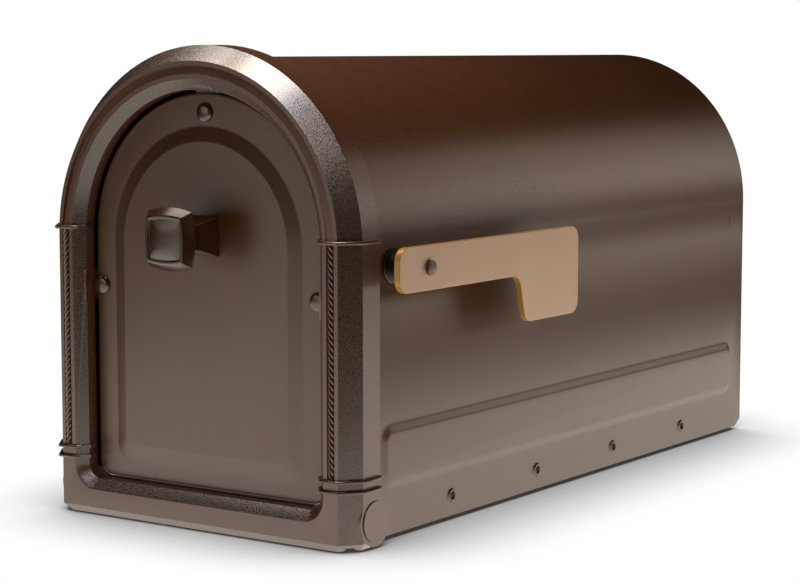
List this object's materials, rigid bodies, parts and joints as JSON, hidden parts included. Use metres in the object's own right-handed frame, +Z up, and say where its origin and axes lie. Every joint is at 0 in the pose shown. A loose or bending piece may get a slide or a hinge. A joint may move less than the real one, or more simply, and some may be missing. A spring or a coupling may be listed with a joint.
{
  "type": "post-mount letter box",
  "caption": "Tunnel-shaped steel letter box with a drop-down door in an arched cast frame, a square knob and a turning signal flag.",
  "frame": {"origin": "middle of the mounting board's seat, on the underside of the floor plate", "axes": "+X to the flag's side, +Y from the door to the back, +Z up; the door faces -Y"},
  "size_m": [0.2504, 0.53, 0.285],
  "materials": {
    "coated_sheet": "rubbed-bronze powder coat, satin",
    "coated_casting": "rubbed-bronze powder coat over die-cast aluminium, fine texture",
    "bronze_hardware": "brown enamel, satin",
    "zinc_steel": "bright zinc plate",
    "nylon": "natural nylon",
    "ferrite": "dull black ferrite",
    "champagne": "champagne powder coat, satin"
  },
  "bodies": {
    "box": {"body_shell": "coated_sheet", "rear_panel": "coated_sheet", "floor_plate": "coated_sheet", "mouth_hoop": "coated_sheet", "hinge_pin_right": "zinc_steel", "hinge_pin_left": "zinc_steel", "hinge_washer_right": "nylon", "hinge_washer_left": "nylon", "catch_bracket": "zinc_steel", "catch_magnet": "ferrite", "catch_rivets": "zinc_steel", "flag_standoff": "bronze_hardware", "flag_screw": "bronze_hardware", "flag_washer": "nylon", "flag_backing_washer": "zinc_steel", "flag_nut": "zinc_steel"},
    "door": {"door_frame": "coated_casting", "door_panel": "coated_sheet", "panel_rivets": "bronze_hardware", "strike_plate": "zinc_steel", "door_knob": "bronze_hardware", "knob_screw": "zinc_steel", "knob_washer": "zinc_steel"},
    "signal_flag": {"flag": "champagne"}
  },
  "joints": [
    {"name": "door_hinge", "type": "hinge", "parent": "box", "child": "door", "pos_m": [0, -0.2375, -0.009], "axis": [1, 0, 0], "range_deg": [0, 95]},
    {"name": "flag_pivot", "type": "hinge", "parent": "box", "child": "signal_flag", "pos_m": [0.1305, -0.2102, 0.1349], "axis": [1, 0, 0], "range_deg": [0, 90]}
  ]
}
